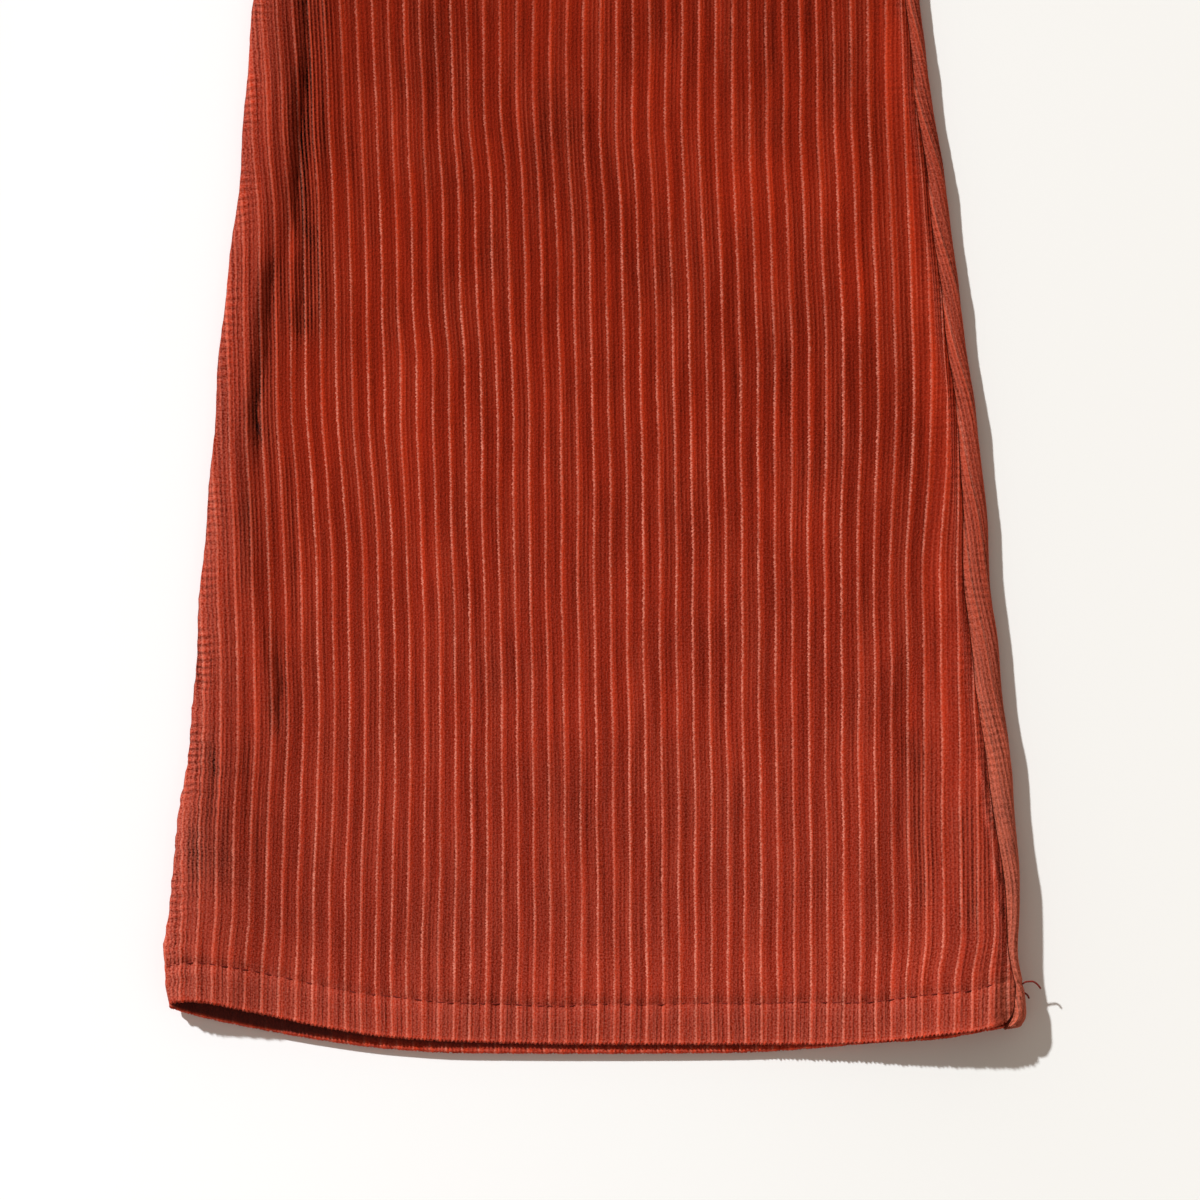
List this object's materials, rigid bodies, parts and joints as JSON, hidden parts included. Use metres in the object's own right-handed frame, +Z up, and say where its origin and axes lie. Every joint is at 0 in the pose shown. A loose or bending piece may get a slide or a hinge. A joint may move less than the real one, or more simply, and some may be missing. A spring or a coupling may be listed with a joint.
{
  "type": "flared corduroy trousers",
  "caption": "Flared corduroy trousers laid flat, front up, with turned-up hems, open leg ends and an open waist with a lapped fly.",
  "frame": {"origin": "middle of the garment's outline on the surface it lies on", "axes": "+Y from the hems to the waist, +Z up out of the front, +X to the wearer's left"},
  "size_m": [0.6474, 1.0446, 0.0176],
  "materials": {
    "corduroy": "rust red cotton corduroy, fine ribs with every fourth one raised, soft pile with a pink sheen",
    "button": "satin dark brown horn look"
  },
  "bodies": {
    "root": {"front_left": "corduroy", "front_right": "corduroy", "back_left": "corduroy", "back_right": "corduroy", "waistband_left": "corduroy", "waistband_right": "corduroy", "button": "button"}
  },
  "joints": []
}
